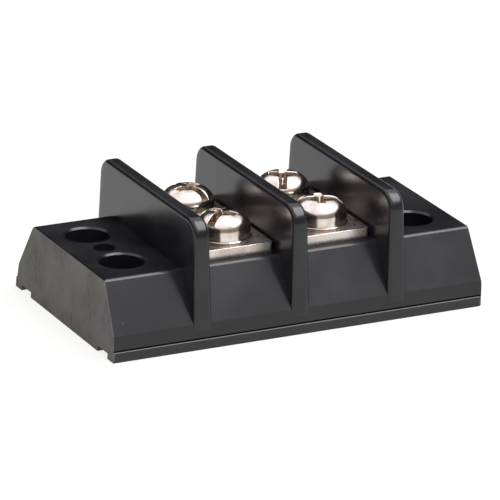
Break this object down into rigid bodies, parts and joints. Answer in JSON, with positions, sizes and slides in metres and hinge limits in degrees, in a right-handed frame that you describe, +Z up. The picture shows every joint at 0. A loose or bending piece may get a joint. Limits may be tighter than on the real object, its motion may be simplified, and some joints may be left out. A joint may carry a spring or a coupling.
{
  "type": "barrier terminal strip",
  "caption": "Low trapezoid terminal strip in black plastic with upright barriers between poles, plated bars and pan head screws, holed at both ends.",
  "frame": {"origin": "middle of the underside, on the plane the strip is screwed down to", "axes": "+X along the strip towards the moulded end, +Y across it to the far side, +Z up"},
  "size_m": [0.0666, 0.0388, 0.0212],
  "materials": {
    "black_moulding": "glossy moulded black, satin where the left end is sawn",
    "plated_bar": "nickel plated, satin",
    "plated_rivet": "nickel plated",
    "plated_screw": "nickel plated, bright"
  },
  "bodies": {
    "strip": {"base_moulding": "black_moulding", "terminal_bar_left": "plated_bar", "terminal_bar_right": "plated_bar", "bar_rivet_left": "plated_rivet", "bar_rivet_right": "plated_rivet"},
    "screw_left_near": {"screw_left_near": "plated_screw"},
    "screw_left_far": {"screw_left_far": "plated_screw"},
    "screw_right_near": {"screw_right_near": "plated_screw"},
    "screw_right_far": {"screw_right_far": "plated_screw"}
  },
  "joints": [
    {"name": "unscrew_left_near", "type": "slide", "parent": "strip", "child": "screw_left_near", "axis": [0, 0, 1], "range_m": [0, 0.004]},
    {"name": "unscrew_left_far", "type": "slide", "parent": "strip", "child": "screw_left_far", "axis": [0, 0, 1], "range_m": [0, 0.004]},
    {"name": "unscrew_right_near", "type": "slide", "parent": "strip", "child": "screw_right_near", "axis": [0, 0, 1], "range_m": [0, 0.004]},
    {"name": "unscrew_right_far", "type": "slide", "parent": "strip", "child": "screw_right_far", "axis": [0, 0, 1], "range_m": [0, 0.004]}
  ]
}
